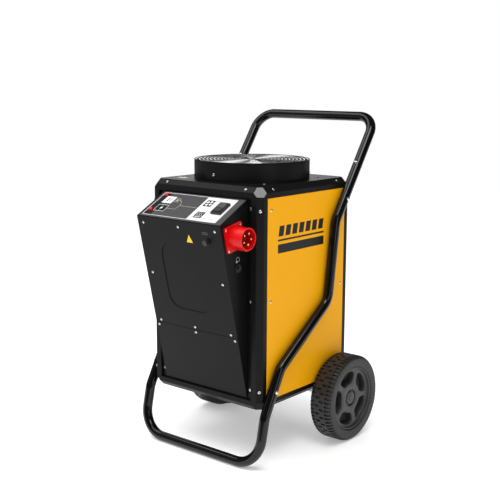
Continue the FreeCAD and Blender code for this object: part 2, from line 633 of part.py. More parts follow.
reset_axis = ["-reset_reach", "reset_high"]
keep(ring("reset_bezel", "reset_bezel", "reset_radius + reset_gap", 3, [cheek] + reset_axis, X),
     "reset_bezel")
keep(rod("reset_button", "reset_radius", "reset_length", [cheek + " - 5.5"] + reset_axis, X),
     "reset_button")
limit_case = rod("limit_case", "reset_bezel", "limit_deep",
                 [cheek + " - console_skin - limit_deep"] + reset_axis, X)
limit_bore = rod("limit_bore", "reset_radius + reset_gap", 20,
                 [cheek + " - console_skin - 8"] + reset_axis, X)
keep(cut("limit_thermostat", limit_case, limit_bore), "limit_thermostat")

# ---------------------------------------------------------------- electrics behind the console

plate_back = tray_back + " - plate_gap"
plate_face = plate_back + " - sheet"
feet = []
for sx in ("-plate_half + 5", "plate_half - 5 - plate_foot"):
    for high in ("plate_low + 5", "plate_high - 5 - plate_foot"):
        feet.append(block("mounting_foot_%d" % len(feet), [sx, plate_back, high],
                          ["plate_foot", "plate_gap", "plate_foot"]))
plate_sheet = block("mounting_sheet", ["-plate_half", plate_face, "plate_low"],
                    ["2 * plate_half", "sheet", "plate_high - plate_low"])
keep(join("mounting_plate", plate_sheet, *feet), "mounting_plate")
keep(block("contactor", ["contactor_left", plate_face + " - contactor_deep", "contactor_low"],
           ["contactor_width", "contactor_deep", "contactor_tall"]), "contactor")
blocks = [block("terminal_%d" % n, ["terminal_left + %d * terminal_pitch" % n,
                                    plate_face + " - terminal_deep", "terminal_low"],
                ["terminal_pitch - terminal_gap", "terminal_deep", "terminal_tall"]) for n in range(8)]
keep(group("terminal_block", blocks), "terminal_block")
keep(ring("cable_grommet", "cable_radius + 3", "cable_radius - 4", "grommet_thick",
          ["cable_place", tray_back + " - grommet_thick", "cable_high"], Y), "cable_grommet")

# ---------------------------------------------------------------- fan and air path

collar_wall = ring("collar_wall", "collar_radius", "collar_radius - sheet", "collar_tall",
                   [0, "cab_middle", "cab_top"])
collar_foot = ring("collar_foot", "collar_radius", "fan_hole", "sheet", [0, "cab_middle", "cab_top"])
keep(cut("fan_collar", join("collar_solid", collar_wall, collar_foot), collar_holes), "fan_collar")

guard_top = "(cab_top + collar_tall)"
guard_low = guard_top + " - 1 - guard_bar"
guard_outer = "(collar_radius - sheet - 0.3)"
rings = []
for number in range(14):
    radius = "%s - %d * guard_pitch" % (guard_outer, number)
    rings.append(ring("guard_ring_%d" % number, radius, radius + " - guard_bar", "guard_bar",
                      [0, "cab_middle", guard_low]))
boss = rod("guard_middle", "guard_boss", "guard_bar", [0, "cab_middle", guard_low])
spokes = [turned_block("guard_spoke_%d" % n, Vector(0, fan_y, evaluate(guard_low) - 2.5),
                       Rotation(Z, 45 * n), "2 * %s - 2" % guard_outer, 3, 3, (0.5, 0.5, 0))
          for n in range(4)]
keep(join("fan_guard", boss, *(rings + spokes)), "fan_guard")

motor_case = rod("motor_case", "motor_radius", "motor_high - motor_low", [0, "cab_middle", "motor_low"])
motor_bore = rod("motor_bore", "shaft_radius + fit_gap", 200, [0, "cab_middle", "motor_low + 10"])
keep(cut("fan_motor", motor_case, motor_bore), "fan_motor")
keep(rod("fan_shaft", "shaft_radius", "motor_high - motor_low + 20", [0, "cab_middle", "motor_low + 12"]),
     "fan_shaft")
hub = rod("fan_hub", "hub_radius", "hub_tall", [0, "cab_middle", "motor_high + 2"])
sweep_limit = rod("blade_limit", "fan_radius", 60, [0, "cab_middle", "motor_high - 10"])
blades = []
blade_count = 7
blade_middle = Vector(0, fan_y, size("motor_high") + 2 + size("hub_tall") / 2)
for number in range(blade_count):
    turn = Rotation(Z, 360.0 / blade_count * number).multiply(Rotation(X, size("blade_tilt")))
    blades.append(turned_block("blade_%d" % number, blade_middle, turn, "fan_radius + 10",
                               "blade_chord", "blade_thick", (-0.2, 0.5, 0.5)))
trimmed_blades = meet("trimmed_blades", join("all_blades", hub, *blades), sweep_limit)
shaft_hole = rod("shaft_hole", "shaft_radius", 60, [0, "cab_middle", "motor_high - 5"])
keep(cut("fan_impeller", trimmed_blades, shaft_hole), "fan_impeller")

keep(ring("inner_duct", "duct_radius + sheet", "duct_radius", "cab_top - sheet - duct_low",
          [0, "cab_middle", "duct_low"]), "inner_duct")
bracket_band = ring("bracket_band", "duct_radius - 0.1", "duct_radius - arm_thick", "bracket_ring",
                    [0, "cab_middle", "motor_low - arm_thick"])
arms = [turned_block("bracket_arm_%d" % n, Vector(0, fan_y, size("motor_low") - size("arm_thick")),
                     Rotation(Z, 45 + 90 * n), "2 * duct_radius - 4", "arm_width", "arm_thick",
                     (0.5, 0.5, 0)) for n in range(2)]
keep(join("motor_bracket", bracket_band, *arms), "motor_bracket")

loops = []
clear_loops = []
for level in range(3):
    for turn_number in range(3):
        for name, grow, target in (("loop", "0", loops), ("clear", "element_gap", clear_loops)):
            loop = doc.addObject("Part::Torus", "%s_%d_%d" % (name, level, turn_number))
            bind(loop, Radius1="element_inner + %d * element_pitch" % turn_number,
                 Radius2="element_radius + " + grow)
            target.append(put(loop, [0, "cab_middle", "element_low + %d * element_step" % level]))
keep(group("heating_elements", loops), "heating_elements")
rack_low = Vector(0, fan_y, size("element_low") - size("rack_margin"))
rack_plates = [turned_block("rack_plate_%d" % n, rack_low, Rotation(Z, 90 * n), "2 * duct_radius - 1",
                            "rack_thick", "2 * (element_step + rack_margin)", (0.5, 0.5, 0))
               for n in range(2)]
keep(cut("element_rack", join("rack_solid", *rack_plates), *clear_loops), "element_rack")

keep(ring("outlet_spigot", "spigot_radius", "spigot_radius - sheet", "cab_bottom - spigot_low",
          [0, "spigot_middle", "spigot_low"]), "outlet_spigot")
mesh_floor = size("cab_bottom") + size("sheet")
mesh_rings = []
for number in range(6):
    radius = "spigot_radius + 1 - %d * mesh_pitch" % number
    mesh_rings.append(ring("mesh_ring_%d" % number, radius, radius + " - mesh_ring", "mesh_bar",
                           [0, "spigot_middle", mesh_floor]))
mesh_bars = [turned_block("mesh_bar_%d" % n, Vector(0, size("spigot_middle"), mesh_floor),
                          Rotation(Z, 90 * n), "2 * (spigot_radius - 1)", "mesh_bar", "mesh_bar",
                          (0.5, 0.5, 0)) for n in range(2)]
keep(join("outlet_guard", *(mesh_rings + mesh_bars)), "outlet_guard")

# ---------------------------------------------------------------- tube frame


def bent_path(points, radii):
    """Straight runs joined by tangent arcs."""
    edges = []
    start = points[0]
    for before, corner, after, radius in zip(points, points[1:], points[2:], radii):
        come = (corner - before).normalize()
        leave = (after - corner).normalize()
        half = come.getAngle(leave) / 2
        reach = radius * math.tan(half)
        enter = corner - come * reach
        leave_point = corner + leave * reach
        inward = (leave - come).normalize()
        crown = corner + inward * (radius / math.cos(half) - radius)
        edges.append(Part.LineSegment(start, enter).toShape())
        edges.append(Part.Arc(enter, crown, leave_point).toShape())
        start = leave_point
    edges.append(Part.LineSegment(start, points[-1]).toShape())
    return Part.Wire(edges)


def swept(name, path, radius):
    section = doc.addObject("Part::Circle", name + "_section")
    bind(section, Radius=radius)
    first = path.Shape.Edges[0]
    heading = first.tangentAt(first.FirstParameter)
    section.Placement = Placement(first.valueAt(first.FirstParameter), Rotation(Z, heading))
    obj = doc.addObject("Part::Sweep", name)
    obj.Sections = [section]
    obj.Spine = (path, ["Edge%d" % (n + 1) for n in range(len(path.Shape.Edges))])
    obj.Solid = True
    obj.Frenet = False
    return obj


half = size("frame_half")
handle_left = Vector(-half, size("handle_rear"), size("handle_high"))
upward = (handle_left - Vector(-half, *FRAME_SIDE[0])).normalize()
joint_left = handle_left - upward * ((size("handle_high") - size("joint_high")) / upward.z)
left_side = [joint_left] + [Vector(-half, y, high) for y, high in FRAME_SIDE]
foot_left = Vector(-half, -size("foot_front"), size("tube_radius"))
frame_points = left_side + [foot_left]
frame_points += [Vector(-p.x, p.y, p.z) for p in reversed(frame_points)]
bends = [size("side_bend")] * 4 + [size("foot_bend")]
frame_path = solid_feature("frame_path", bent_path(frame_points, bends + bends[::-1]))
handle_points = [joint_left, handle_left, Vector(half, handle_left.y, handle_left.z),
                 Vector(half, joint_left.y, joint_left.z)]
handle_path = solid_feature("handle_path", bent_path(handle_points, [size("side_bend")] * 2))

across = Vector(0, -upward.z, upward.y)
joint_spots = [Vector(sx * half, joint_left.y, joint_left.z) - upward * size("sleeve_bolt")
               for sx in (-1, 1)]
joint_holes = holes("joint", [(p, across) for p in joint_spots], size("bolt_radius"), 20)
side_holes = holes("side", [(Vector(sx * half, y, high), X) for sx in (-1, 1)
                            for y, high in FRAME_BOLTS], size("bolt_radius"), 20)

for label, path in (("frame_tube", frame_path), ("handle_tube", handle_path)):
    outer = swept(label + "_outer", path, "tube_radius")
    inner = swept(label + "_inner", path, "tube_radius - tube_wall")
    keep(cut(label, cut(label + "_hollow", outer, inner), joint_holes, side_holes), label)

sleeves = []
for sx in (-1, 1):
    joint = Vector(sx * half, joint_left.y, joint_left.z)
    low_end = joint - upward * size("sleeve_long") / 2
    outside = turned_rod("sleeve_outer_%d" % sx, low_end, upward,
                         "tube_radius - tube_wall - sleeve_gap", "sleeve_long")
    inside = turned_rod("sleeve_inner_%d" % sx, low_end, upward,
                        "tube_radius - tube_wall - sleeve_gap - sleeve_wall", "sleeve_long")
    sleeves.append(cut("sleeve_%d" % sx, outside, inside, joint_holes))
keep(group("joint_sleeves", sleeves), "joint_sleeves")

spacers = []
for sx in (-1, 1):
    for y, high in FRAME_BOLTS:
        start = Vector(sx * proud, y, high)
        name = "spacer_%d_%d" % (sx, high)
        spacers.append(cut(name, turned_rod(name + "_body", start, X * sx, "spacer_radius", "spacer_long"),
                           doc.getObject("frame_tube_outer"), side_holes, bolt_holes))
keep(group("frame_spacers", spacers), "frame_spacers")


def through_bolt(head_spot, normal, length):
    """A domed bolt with a hexagon nut on its far end."""
    bolt = screw(head_spot, normal, size("bolt_head"), size("bolt_radius"), length)
    hexagon = [Rotation(Z, 60 * n).multVec(X * size("bolt_head")) for n in range(7)]
    nut = Part.Face(Part.makePolygon(hexagon)).extrude(Z * size("nut_thick"))
    nut.Placement = Placement(head_spot - normal * (length - 1), Rotation(Z, normal))
    return bolt.fuse(nut).removeSplitter()


tube = size("tube_radius")
side_bolts = [through_bolt(Vector(sx * (half + tube), y, high), X * sx,
                           half + tube - (side_x + size("panel_proud") - 2 * size("sheet")) + 6)
              for sx in (-1, 1) for y, high in FRAME_BOLTS]
rear_bolts = [through_bolt(p + across * tube, across, 2 * tube + 6) for p in joint_spots]
keep(solid_feature("frame_bolts", Part.makeCompound(side_bolts + rear_bolts)), "frame_bolts")

# ---------------------------------------------------------------- axle and wheels

axle_spot = ["axle_rear", "wheel_radius"]
axle_core = rod("axle_core", "axle_radius", "2 * (hub_outer + axle_end)",
                ["-(hub_outer + axle_end)"] + axle_spot, X)
axle_middle = rod("axle_middle", "shoulder_radius", "2 * shoulder_half", ["-shoulder_half"] + axle_spot, X)
keep(join("axle", axle_core, axle_middle), "axle")

bracket_plate = span("bracket_plate", ["bracket_inner", "axle_rear - bracket_half",
                                       "wheel_radius - bracket_drop"],
                     ["bracket_outer", "axle_rear + bracket_half", "cab_bottom"])
bracket_top = span("bracket_top", ["bracket_lap", "axle_rear - bracket_half", "cab_bottom - bracket_thick"],
                   ["bracket_outer", "axle_rear + bracket_half", "cab_bottom"])
bracket_bore = rod("bracket_bore", "shoulder_radius + 0.05", 40, ["bracket_inner - 20"] + axle_spot, X)
keep(cut("axle_bracket_right", join("bracket_solid", bracket_plate, bracket_top), bracket_bore),
     "axle_bracket_right")
mirrored("axle_bracket_left", parts[-1])

washer_rings = []
for number, low in enumerate(("shoulder_half + 0.1", "-shoulder_half - 0.1 - washer_thick")):
    washer_rings.append(ring("washer_%d" % number, "washer_radius", "axle_radius + 0.1", "washer_thick",
                             [low] + axle_spot, X))
keep(group("axle_washers", washer_rings), "axle_washers")

tyre_raw = ring("tyre_raw", "wheel_radius", "rim_radius", "wheel_outer - wheel_inner",
                ["wheel_inner"] + axle_spot, X)
keep(fillet("tyre_right", tyre_raw, size("tyre_shoulder"), lambda e: is_hoop(e, size("wheel_radius"))),
     "tyre_right")
mirrored("tyre_left", parts[-1])

rim_drum = rod("rim_drum", "rim_radius", "wheel_outer - wheel_inner - 2 * rim_inset",
               ["wheel_inner + rim_inset"] + axle_spot, X)
front_space = rod("front_space", "rim_radius - rim_border", 20, ["wheel_outer - front_dish"] + axle_spot, X)
back_space = rod("back_space", "rim_radius - rim_border", "back_dish + 6",
                 ["wheel_inner - 6"] + axle_spot, X)
hub_boss = rod("hub_boss", "boss_radius", "hub_outer - hub_inner", ["hub_inner"] + axle_spot, X)
hub_pocket = rod("hub_pocket", "cap_pocket", 20, ["hub_outer"] + axle_spot, X)
hub_bore = rod("hub_bore", "axle_radius + fit_gap", 200, [150] + axle_spot, X)
dished = join("rim_with_hub", cut("dished_rim", rim_drum, front_space, back_space), hub_boss)
kidneys = []
for number in range(5):
    outside = doc.addObject("Part::Cylinder", "kidney_%d" % number)
    bind(outside, Radius="rim_radius - kidney_border", Height=60, Angle="kidney_angle")
    placed(outside, Placement(Vector(size("kidney_front"), size("axle_rear"), size("wheel_radius")),
                              Rotation(X, 72 * number).multiply(Rotation(Z, X))))
    inside = rod("kidney_core_%d" % number, "kidney_inner", 60, ["kidney_front"] + axle_spot, X)
    kidneys.append(cut("kidney_cut_%d" % number, outside, inside))
keep(cut("wheel_rim_right", dished, join("hub_space", hub_bore, hub_pocket), *kidneys),
     "wheel_rim_right")
mirrored("wheel_rim_left", parts[-1])
cap_disc = rod("cap_disc", "cap_radius", "cap_thick", ["hub_outer + cap_gap"] + axle_spot, X)
cap_bore = rod("cap_bore", "axle_radius", "axle_end - cap_gap", ["hub_outer + cap_gap"] + axle_spot, X)
keep(cut("hub_cap_right", cap_disc, cap_bore), "hub_cap_right")
mirrored("hub_cap_left", parts[-1])

# ---------------------------------------------------------------- checks and files

doc.recompute()
faults = [obj.Name for obj in doc.Objects if "Invalid" in obj.State or "Error" in obj.State]
for obj in parts:
    if obj.Shape.isNull() or not obj.Shape.isValid():
        faults.append(obj.Label)
if faults:
    raise SystemExit("failed objects: " + ", ".join(faults))
os.makedirs("parts", exist_ok=True)
for obj in parts:
    obj.Shape.exportStep(os.path.join("parts", obj.Label + ".step"))
print(len(parts), "sub-parts written")
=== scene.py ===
import json
import math

import bmesh
import bpy
from mathutils import Matrix, Vector


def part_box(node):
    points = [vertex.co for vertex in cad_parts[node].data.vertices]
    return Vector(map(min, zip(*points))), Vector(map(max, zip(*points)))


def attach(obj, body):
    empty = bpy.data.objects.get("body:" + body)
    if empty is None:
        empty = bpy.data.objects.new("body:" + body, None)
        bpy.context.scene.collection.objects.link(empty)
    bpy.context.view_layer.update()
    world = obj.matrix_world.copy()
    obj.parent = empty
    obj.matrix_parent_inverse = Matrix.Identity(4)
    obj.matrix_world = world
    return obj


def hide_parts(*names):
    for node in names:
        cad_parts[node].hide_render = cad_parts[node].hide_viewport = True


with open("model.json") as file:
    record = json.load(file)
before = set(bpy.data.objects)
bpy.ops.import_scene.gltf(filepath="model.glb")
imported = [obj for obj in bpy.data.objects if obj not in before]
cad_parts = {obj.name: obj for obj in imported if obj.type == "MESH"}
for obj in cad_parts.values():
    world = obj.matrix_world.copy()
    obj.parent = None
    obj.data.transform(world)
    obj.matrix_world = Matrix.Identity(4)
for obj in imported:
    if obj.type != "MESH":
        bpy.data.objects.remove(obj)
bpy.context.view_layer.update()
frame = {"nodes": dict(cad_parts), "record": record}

X, Y, Z = Vector((1, 0, 0)), Vector((0, 1, 0)), Vector((0, 0, 1))
MM = 0.001
WHITE = (1.0, 1.0, 1.0, 1.0)


# ---------------------------------------------------------------- camera and light

def add_camera():
    """The view of the reference: from the front right, a little above the middle of the cabinet."""
    azimuth, elevation, roll = math.radians(39.77), math.radians(10.22), math.radians(0.25)
    target, distance = Vector((-0.0036, -0.0080, 0.5478)), 2.7688
    data = bpy.data.cameras.new("camera")
    data.lens = 68.93
    data.sensor_width = 36.0
    camera = bpy.data.objects.new("camera", data)
    bpy.context.scene.collection.objects.link(camera)
    away = Vector((math.sin(azimuth) * math.cos(elevation), -math.cos(azimuth) * math.cos(elevation),
                   math.sin(elevation)))
    right = Z.cross(away).normalized()
    up = away.cross(right)
    turn = Matrix((right, up, away)).transposed().to_4x4()
    place = Matrix.Translation(target + away * distance)
    camera.matrix_world = place @ turn @ Matrix.Rotation(roll, 4, "Z")
    bpy.context.scene.camera = camera


def add_lamp(name, data, place, aim):
    lamp = bpy.data.objects.new(name, data)
    bpy.context.scene.collection.objects.link(lamp)
    lamp.location = place
    lamp.rotation_euler = (Vector(aim) - Vector(place)).to_track_quat("-Z", "Y").to_euler()
    return lamp


def add_area(name, place, aim, size, power):
    data = bpy.data.lights.new(name, "AREA")
    data.shape = "RECTANGLE"
    data.size, data.size_y = size
    data.energy = power
    add_lamp(name, data, place, aim)


def add_sun(name, place, strength, spread):
    """A very broad far light, so that its shadows are soft and it falls evenly on the floor.
    It leaves no highlight on the object."""
    data = bpy.data.lights.new(name, "SUN")
    data.energy = strength
    data.angle = math.radians(spread)
    lamp = add_lamp(name, data, place, (0, 0, 0))
    lamp.visible_glossy = False


def white_glow(background, strength):
    """Makes a background node white, at this strength, and gives its output."""
    background.inputs["Color"].default_value = WHITE
    background.inputs["Strength"].default_value = strength
    return background.outputs["Background"]


def add_world():
    """A studio that is white as the backdrop, soft grey as fill and dark in reflections."""
    world = bpy.data.worlds.new("studio")
    world.use_nodes = True
    nodes, links = world.node_tree.nodes, world.node_tree.links
    fill = white_glow(nodes["Background"], 0.34)
    walls = white_glow(nodes.new("ShaderNodeBackground"), 0.07)
    backdrop = white_glow(nodes.new("ShaderNodeBackground"), 1.0)
    path = nodes.new("ShaderNodeLightPath")
    mirrored = nodes.new("ShaderNodeMixShader")
    links.new(path.outputs["Is Glossy Ray"], mirrored.inputs["Fac"])
    links.new(fill, mirrored.inputs[1])
    links.new(walls, mirrored.inputs[2])
    seen = nodes.new("ShaderNodeMixShader")
    links.new(path.outputs["Is Camera Ray"], seen.inputs["Fac"])
    links.new(mirrored.outputs["Shader"], seen.inputs[1])
    links.new(backdrop, seen.inputs[2])
    links.new(seen.outputs["Shader"], nodes["World Output"].inputs["Surface"])
    bpy.context.scene.world = world
    bpy.context.scene.view_settings.view_transform = "Standard"


def add_lights():
    add_world()
    add_sun("overhead", (-0.25, -0.35, 1.0), 2.1, 100)
    add_area("ceiling", (-1.3, -1.1, 3.0), (0, 0, 0.6), (3.0, 1.5), 33)
    add_area("corner", (1.15, -0.95, 3.2), (0, 0, 0.7), (1.3, 1.3), 34)
    add_area("key", (-2.2, -2.6, 1.9), (0, 0, 0.6), (1.6, 1.6), 2)
    add_area("side", (3.0, -0.9, 1.3), (0, 0, 0.5), (0.8, 1.8), 9)
    add_area("back", (-1.9, 2.3, 1.5), (0, 0, 0.8), (2.0, 0.9), 9)


# ---------------------------------------------------------------- materials

def finish_of(name, colour, rough, metal=0.0, coat=0.0, specular=0.5, tone=0.12, patch=9.0,
              grain=700.0, depth=0.00012, rough_range=0.1, streaks=(1, 1, 1)):
    """A procedural finish: a base colour that drifts a little, a gloss that follows the mean of the
    drift and a fine grain, and a relief from that grain. streaks stretches the grain along one axis,
    as brushing or drawing does."""
    made = bpy.data.materials.new(name)
    made.use_nodes = True
    nodes, links = made.node_tree.nodes, made.node_tree.links
    shader = nodes["Principled BSDF"]
    shader.inputs["Metallic"].default_value = metal
    shader.inputs["Coat Weight"].default_value = coat
    shader.inputs["Coat Roughness"].default_value = 0.08
    shader.inputs["Specular IOR Level"].default_value = specular
    place = nodes.new("ShaderNodeTexCoord")
    stretch = nodes.new("ShaderNodeMapping")
    stretch.inputs["Scale"].default_value = streaks
    links.new(place.outputs["Object"], stretch.inputs["Vector"])

    drift = nodes.new("ShaderNodeTexNoise")
    drift.inputs["Scale"].default_value = patch
    drift.inputs["Detail"].default_value = 4.0
    links.new(place.outputs["Object"], drift.inputs["Vector"])
    blend = nodes.new("ShaderNodeMix")
    blend.data_type = "RGBA"
    blend.inputs["A"].default_value = [c * (1 - tone) for c in colour] + [1]
    blend.inputs["B"].default_value = [min(1, c * (1 + tone)) for c in colour] + [1]
    links.new(drift.outputs["Fac"], blend.inputs["Factor"])
    links.new(blend.outputs["Result"], shader.inputs["Base Color"])

    fine = nodes.new("ShaderNodeTexNoise")
    fine.inputs["Scale"].default_value = grain
    fine.inputs["Detail"].default_value = 3.0
    links.new(stretch.outputs["Vector"], fine.inputs["Vector"])
    gloss = nodes.new("ShaderNodeMapRange")
    gloss.inputs["To Min"].default_value = max(0.02, rough - rough_range)
    gloss.inputs["To Max"].default_value = min(1.0, rough + rough_range)
    mixed = nodes.new("ShaderNodeMath")
    mixed.operation = "MULTIPLY_ADD"
    mixed.inputs[1].default_value = 0.5
    links.new(drift.outputs["Fac"], mixed.inputs[0])
    half = nodes.new("ShaderNodeMath")
    half.operation = "MULTIPLY"
    half.inputs[1].default_value = 0.5
    links.new(fine.outputs["Fac"], half.inputs[0])
    links.new(half.outputs["Value"], mixed.inputs[2])
    links.new(mixed.outputs["Value"], gloss.inputs["Value"])
    links.new(gloss.outputs["Result"], shader.inputs["Roughness"])

    relief = nodes.new("ShaderNodeBump")
    relief.inputs["Strength"].default_value = 0.6
    relief.inputs["Distance"].default_value = depth
    links.new(fine.outputs["Fac"], relief.inputs["Height"])
    links.new(relief.outputs["Normal"], shader.inputs["Normal"])
    return made


FINISH = {
    "black_sheet": finish_of("powder_coat_black", (0.0055, 0.0055, 0.0057), 0.38, specular=0.11, tone=0.1,
                             grain=900),
    "yellow_sheet": finish_of("powder_coat_yellow", (0.83, 0.375, 0.003), 0.42, specular=0.1, tone=0.03,
                              patch=5, grain=900, depth=0.0001),
    "tube_black": finish_of("gloss_coat_black", (0.0020, 0.0020, 0.0021), 0.12, specular=0.38, tone=0.2,
                            grain=500, depth=0.00008, rough_range=0.06),
    "zinc": finish_of("bright_zinc", (0.72, 0.73, 0.75), 0.28, metal=1.0, tone=0.08, patch=60),
    "guard_steel": finish_of("bright_nickel", (0.64, 0.64, 0.65), 0.2, metal=1.0, tone=0.06, patch=40,
                             depth=0.00005),
    "galvanised": finish_of("galvanised", (0.50, 0.52, 0.54), 0.4, metal=1.0, tone=0.25, patch=45),
    "element_steel": finish_of("heated_steel", (0.24, 0.19, 0.15), 0.45, metal=1.0, tone=0.35, patch=30),
    "shaft_steel": finish_of("ground_steel", (0.6, 0.6, 0.61), 0.25, metal=1.0, streaks=(1, 1, 20)),
    "motor_cast": finish_of("cast_aluminium", (0.30, 0.31, 0.32), 0.55, metal=0.8, grain=400, depth=0.0003),
    "fan_plastic": finish_of("fan_plastic", (0.03, 0.03, 0.03), 0.5),
    "wheel_plastic": finish_of("wheel_plastic", (0.026, 0.026, 0.027), 0.42, grain=1100, depth=0.0002),
    "tyre_rubber": finish_of("tyre_rubber", (0.017, 0.017, 0.0175), 0.55, tone=0.18, grain=800,
                             depth=0.00025),
    "red_plastic": finish_of("red_plastic", (0.62, 0.002, 0.003), 0.3, specular=0.25, tone=0.06,
                             depth=0.00008),
    "red_insert": finish_of("red_insert", (0.36, 0.010, 0.008), 0.5, tone=0.1),
    "pin_brass": finish_of("pin_brass", (0.78, 0.53, 0.22), 0.3, metal=1.0, patch=200),
    "lamp_red": finish_of("lamp_red", (0.66, 0.001, 0.002), 0.14, coat=0.2, tone=0.1, depth=0.00002,
                          rough_range=0.04),
    "black_plastic": finish_of("black_plastic", (0.012, 0.012, 0.012), 0.45, grain=1500, depth=0.0001),
    # painted highlight: a lighter grey than the black sheet, laid on the top cover's corner facets where
    # they catch the light
    "facet_painted_highlight": finish_of("facet_painted_highlight", (0.075, 0.075, 0.075), 0.32, tone=0.1, depth=0.00004),
    # painted highlight: the rocker's ribs are coloured lighter than its black plastic to show the light
    # along them
    "rib_painted_highlight": finish_of("rib_painted_highlight", (0.11, 0.11, 0.112), 0.4, grain=1500, depth=0.0001),
    "terminal_plastic": finish_of("terminal_plastic", (0.62, 0.6, 0.52), 0.5),
    "grommet_rubber": finish_of("grommet_rubber", (0.02, 0.02, 0.02), 0.75),
    "fascia_film": finish_of("fascia_film", (0.052, 0.053, 0.056), 0.38, tone=0.05, grain=1800,
                             depth=0.00004),
    "print_white": finish_of("print_white", (0.72, 0.72, 0.72), 0.45, tone=0.04, depth=0.00003),
    "print_black": finish_of("print_black", (0.004, 0.004, 0.004), 0.45, specular=0.3, tone=0.1,
                             depth=0.00003),
    "print_grey": finish_of("print_grey", (0.047, 0.047, 0.049), 0.45, tone=0.05, depth=0.00003),
    "print_yellow": finish_of("print_yellow", (0.85, 0.55, 0.02), 0.45, tone=0.04, depth=0.00003),
    "label_beige": finish_of("label_beige", (0.55, 0.50, 0.38), 0.5, tone=0.06, depth=0.00003),
    "floor": finish_of("studio_floor", (0.86, 0.86, 0.86), 0.6, tone=0.01, patch=2, grain=60),
}


def slot_of(node):
    return next(row["material_slot"] for row in frame["record"]["subparts"] if row["node"] == node)


def dress_cad_nodes():
    """Every carried-over CAD node gets the finish of its material slot."""
    for name, obj in frame["nodes"].items():
        obj.data.materials.clear()
        obj.data.materials.append(FINISH[slot_of(name)])


# ---------------------------------------------------------------- mesh helpers

def add_object(name, bm, body, finish, replaced=(), smooth=35.0, flat_from=1.0):
    """Turns a bmesh into a piece that rides on a body and may stand for CAD nodes.
    Faces of at least flat_from square metres are shaded flat."""
    bmesh.ops.recalc_face_normals(bm, faces=bm.faces)
    mesh = bpy.data.meshes.new(name)
    bm.to_mesh(mesh)
    bm.free()
    mesh.set_sharp_from_angle(angle=math.radians(smooth))
    for polygon in mesh.polygons:
        polygon.use_smooth = polygon.area < flat_from
    mesh.materials.append(finish)
    obj = bpy.data.objects.new(name, mesh)
    bpy.context.scene.collection.objects.link(obj)
    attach(obj, body)
    if replaced:
        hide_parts(*replaced)


def soften(bm, width, shortest):
    """Rounds the edges of a bmesh that are at least this long and bend by more than 30 degrees."""
    sharp = [e for e in bm.edges if len(e.link_faces) == 2 and e.calc_length() >= shortest
             and math.degrees(e.calc_face_angle(0)) > 30]
    bmesh.ops.bevel(bm, geom=sharp, offset=width, segments=2, profile=0.5, affect="EDGES",
                    clamp_overlap=True)


def copy_of(node):
    """A clean bmesh of a CAD node: joined corners and whole flat faces."""
    same_point, same_plane = 2e-6, math.radians(0.6)
    bm = bmesh.new()
    bm.from_mesh(frame["nodes"][node].data)
    bmesh.ops.remove_doubles(bm, verts=bm.verts, dist=same_point)
    bmesh.ops.dissolve_limit(bm, angle_limit=same_plane, verts=bm.verts, edges=bm.edges,
                             delimit={"NORMAL"})
    return bm


def soft_copy(node, width, shortest):
    """A CAD sheet or moulding with its edges softened, standing for the node. Its larger faces are
    shaded flat, so that only the softened edges catch the light."""
    bm = copy_of(node)
    soften(bm, width, shortest)
    slot = slot_of(node)
    add_object(node + "_shell", bm, body_of(node), FINISH[slot], (node,), flat_from=8e-5)


def body_of(node):
    bodies = frame["record"]["behaviour"]["bodies"]
    return next(name for name, members in bodies.items() if node in members)


def main_face(node, hint):
    """The middle and normal of a CAD node's largest flat area that faces along hint."""
    facing = 0.6
    sums = {}
    for polygon in frame["nodes"][node].data.polygons:
        if polygon.normal.dot(hint) > facing:
            key = (tuple(round(c, 2) for c in polygon.normal), round(polygon.center.dot(polygon.normal), 4))
            area, normal, middle = sums.get(key, (0.0, Vector(), Vector()))
            sums[key] = (area + polygon.area, normal + polygon.normal * polygon.area,
                         middle + polygon.center * polygon.area)
    area, normal, middle = max(sums.values(), key=lambda row: row[0])
    return middle / area, normal.normalized()


def plane_frame(origin, normal, across):
    """A matrix whose own X runs along across and own Z along normal."""
    across = (across - normal * across.dot(normal)).normalized()
    up = normal.cross(across)
    return Matrix.Translation(origin) @ Matrix((across, up, normal)).transposed().to_4x4()


def lathe(bm, profile, place, steps, closed=False):
    """Adds the solid that (radius, height) points sweep about the own Z of place.
    A closed outline returns to its first point. A point on the axis isn't swept."""
    on_axis = 1e-7
    rings = []
    for radius, high in profile:
        turns = [2 * math.pi * n / steps for n in range(steps if radius > on_axis else 1)]
        rings.append([bm.verts.new(place @ Vector((radius * math.cos(t), radius * math.sin(t), high)))
                      for t in turns])
    for low, high in zip(rings, rings[1:] + rings[:1] if closed else rings[1:]):
        for n in range(steps):
            corners = [low[n % len(low)], low[(n + 1) % len(low)], high[(n + 1) % len(high)],
                       high[n % len(high)]]
            bm.faces.new(list(dict.fromkeys(corners)))


def bridge(bm, low, high):
    """Joins two closed rows of points with faces."""
    count = len(low)
    for n in range(count):
        bm.faces.new((low[n], low[(n + 1) % count], high[(n + 1) % count], high[n]))


def slab(bm, outline, place, thick, low):
    """Adds a flat piece with this outline of (x, y) points, from height low to low + thick."""
    base = [bm.verts.new(place @ Vector((x, y, low))) for x, y in outline]
    top = [bm.verts.new(place @ Vector((x, y, low + thick))) for x, y in outline]
    bm.faces.new(base[::-1])
    bm.faces.new(top)
    bridge(bm, base, top)


def rectangle(x0, y0, x1, y1):
    return [(x0, y0), (x1, y0), (x1, y1), (x0, y1)]


def rounded(x0, y0, x1, y1, radius):
    """A rectangle with rounded corners."""
    steps = 6
    points = []
    for cx, cy, start in ((x1 - radius, y1 - radius, 0), (x0 + radius, y1 - radius, 90),
                          (x0 + radius, y0 + radius, 180), (x1 - radius, y0 + radius, 270)):
        for n in range(steps + 1):
            angle = math.radians(start + 90 * n / steps)
            points.append((cx + radius * math.cos(angle), cy + radius * math.sin(angle)))
    return points


